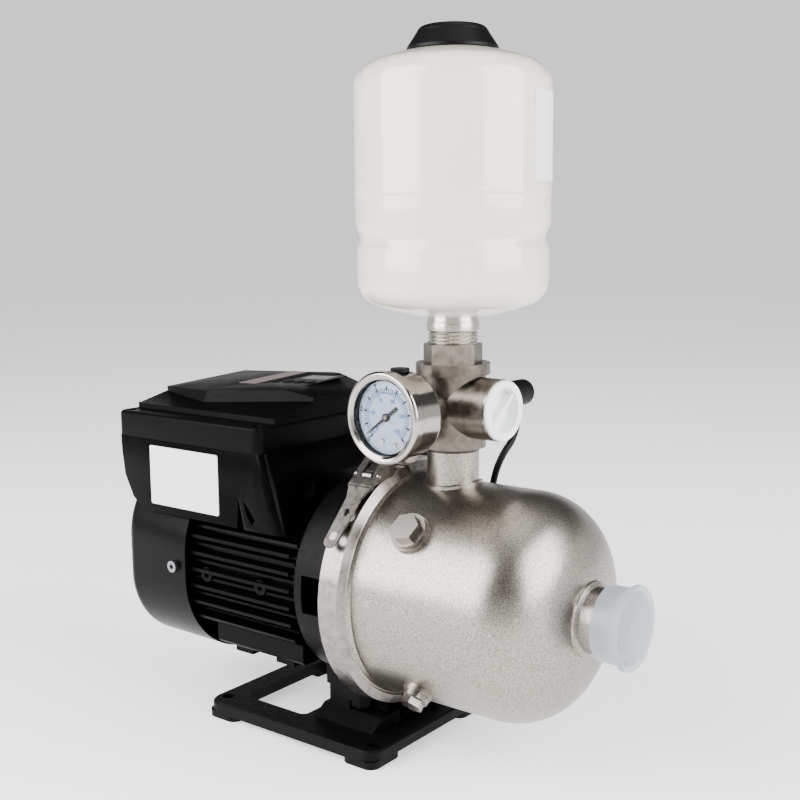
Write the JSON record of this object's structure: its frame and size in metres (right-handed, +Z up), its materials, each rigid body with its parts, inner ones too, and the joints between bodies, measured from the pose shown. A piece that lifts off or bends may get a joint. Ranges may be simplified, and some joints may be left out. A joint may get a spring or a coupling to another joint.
{
  "type": "pressure booster pump",
  "caption": "Horizontal multistage pump on a cast foot with speed controller, clamp-band casing, port manifold, dial gauge, pressure sensor and a small expansion tank on top.",
  "frame": {"origin": "centre of the four base bolt holes, on the floor under the feet", "axes": "+X along the shaft from motor to inlet, +Z up along the tank; the gauge and label face -Y"},
  "size_m": [0.386, 0.1676, 0.4767],
  "materials": {
    "cast_black": "black painted casting, semi-gloss",
    "housing_black": "black painted aluminium casting",
    "cover_black": "black powder coat, fine texture",
    "case_plastic": "black moulded plastic, semi-gloss",
    "black_plastic": "black moulded plastic",
    "overlay_print": "printed film",
    "window_plastic": "smoked clear plastic",
    "stainless_satin": "bead blasted stainless steel",
    "stainless_cast": "cast stainless steel, satin",
    "stainless_bright": "polished stainless steel",
    "machined_steel": "machined steel",
    "screw_steel": "plated steel",
    "air_valve_brass": "turned brass",
    "lamination": "stacked electrical steel",
    "winding": "lacquered copper wire",
    "board": "circuit board laminate",
    "ceramic": "ceramic",
    "seal_mix": "rubber and carbon",
    "black_rubber": "black rubber",
    "foil": "bare printed film",
    "clear_glass": "clear gauge glass",
    "dial_paint": "pale printed dial",
    "needle_black": "black painted needle",
    "cap_translucent": "translucent polyethylene",
    "white_plastic": "white polyethylene",
    "tank_paint": "cream gloss paint"
  },
  "bodies": {
    "frame": {"base_plate": "cast_black", "foot_bolts": "cast_black", "motor_bracket": "cast_black", "motor_housing": "housing_black", "stator_core": "lamination", "stator_windings": "winding", "bearing_outer_races": "machined_steel", "rear_endshield": "cast_black", "fan_cover": "cover_black", "fan_cover_screws": "screw_steel", "controller_case": "case_plastic", "controller_lid": "case_plastic", "lid_screws": "screw_steel", "circuit_board": "board", "console_overlays": "overlay_print", "display_window": "window_plastic", "rating_label": "foil", "cable_gland": "black_plastic", "pump_casing": "stainless_satin", "seal_plate": "stainless_satin", "casing_gasket": "black_rubber", "clamp_band": "stainless_bright", "seal_seat": "ceramic", "stage_bowls": "stainless_satin", "sealing_washers": "black_rubber", "manifold": "stainless_cast", "gauge_case": "stainless_bright", "gauge_bezel": "stainless_bright", "gauge_lens": "clear_glass", "gauge_dial": "dial_paint", "gauge_stem": "stainless_cast", "gauge_vent_plug": "black_rubber", "sensor_body": "stainless_cast", "sensor_head": "black_plastic", "sensor_lead": "black_rubber", "tank_adapter": "stainless_cast", "tank_nipple": "stainless_cast", "tank_shell": "tank_paint", "tank_diaphragm": "black_rubber", "air_valve": "air_valve_brass", "tank_label": "foil"},
    "rotor": {"motor_shaft": "machined_steel", "rotor_core": "lamination", "bearing_inner_races": "machined_steel", "cooling_fan": "black_plastic", "impellers": "stainless_satin", "impeller_nut": "machined_steel", "seal_head": "seal_mix"},
    "latch_lever": {"clamp_lever": "stainless_bright", "clamp_pins": "stainless_bright"},
    "latch_link": {"clamp_link": "stainless_bright"},
    "needle": {"gauge_pointer": "needle_black"},
    "start_key": {"key_start": "black_plastic"},
    "up_key": {"key_up": "black_plastic"},
    "down_key": {"key_down": "black_plastic"},
    "inlet_cover": {"inlet_cap": "cap_translucent"},
    "outlet_cover": {"outlet_plug": "white_plastic"},
    "valve_cover": {"tank_cap": "black_plastic"},
    "filling_closure": {"filling_plug": "stainless_bright"},
    "drain_closure": {"drain_plug": "stainless_bright"}
  },
  "joints": [
    {"name": "shaft_spin", "type": "hinge", "parent": "frame", "child": "rotor", "pos_m": [0, 0, 0.11], "axis": [1, 0, 0], "continuous": true},
    {"name": "lever_throw", "type": "hinge", "parent": "frame", "child": "latch_lever", "pos_m": [0.055, -0.0285, 0.1925], "axis": [-1, 0, 0], "range_deg": [0, 75]},
    {"name": "link_swing", "type": "hinge", "parent": "latch_lever", "child": "latch_link", "pos_m": [0.055, -0.039, 0.1895], "axis": [1, 0, 0], "range_deg": [0, 90]},
    {"name": "needle_sweep", "type": "hinge", "parent": "frame", "child": "needle", "pos_m": [0.09097, -0.06588, 0.2356], "axis": [0.061, 0.9981, 0], "range_deg": [0, 270], "stiffness_Nm_per_rad": 0.0005, "springref_deg": -11.46},
    {"name": "start_press", "type": "slide", "parent": "frame", "child": "start_key", "axis": [0.0389, 0.0484, -0.9981], "range_m": [0, 0.0004], "stiffness_N_per_m": 1500, "springref_m": -0.0003},
    {"name": "up_press", "type": "slide", "parent": "frame", "child": "up_key", "axis": [0.0389, 0.0484, -0.9981], "range_m": [0, 0.0004], "stiffness_N_per_m": 1500, "springref_m": -0.0003},
    {"name": "down_press", "type": "slide", "parent": "frame", "child": "down_key", "axis": [0.0389, 0.0484, -0.9981], "range_m": [0, 0.0004], "stiffness_N_per_m": 1500, "springref_m": -0.0003},
    {"name": "inlet_cap_pull", "type": "slide", "parent": "frame", "child": "inlet_cover", "axis": [1, 0, 0], "range_m": [0, 0.08]},
    {"name": "outlet_plug_pull", "type": "slide", "parent": "frame", "child": "outlet_cover", "axis": [0.9981, -0.061, 0], "range_m": [0, 0.08]},
    {"name": "valve_cap_lift", "type": "slide", "parent": "frame", "child": "valve_cover", "axis": [0, 0, 1], "range_m": [0, 0.04]},
    {"name": "filling_plug_out", "type": "slide", "parent": "frame", "child": "filling_closure", "axis": [0, -0.7373, 0.6756], "range_m": [0, 0.03]},
    {"name": "drain_plug_out", "type": "slide", "parent": "frame", "child": "drain_closure", "axis": [0, -0.7193, -0.6947], "range_m": [0, 0.03]}
  ],
  "couplings": [
    {"joint": "link_swing", "follows": "lever_throw", "ratio": 1.15}
  ]
}
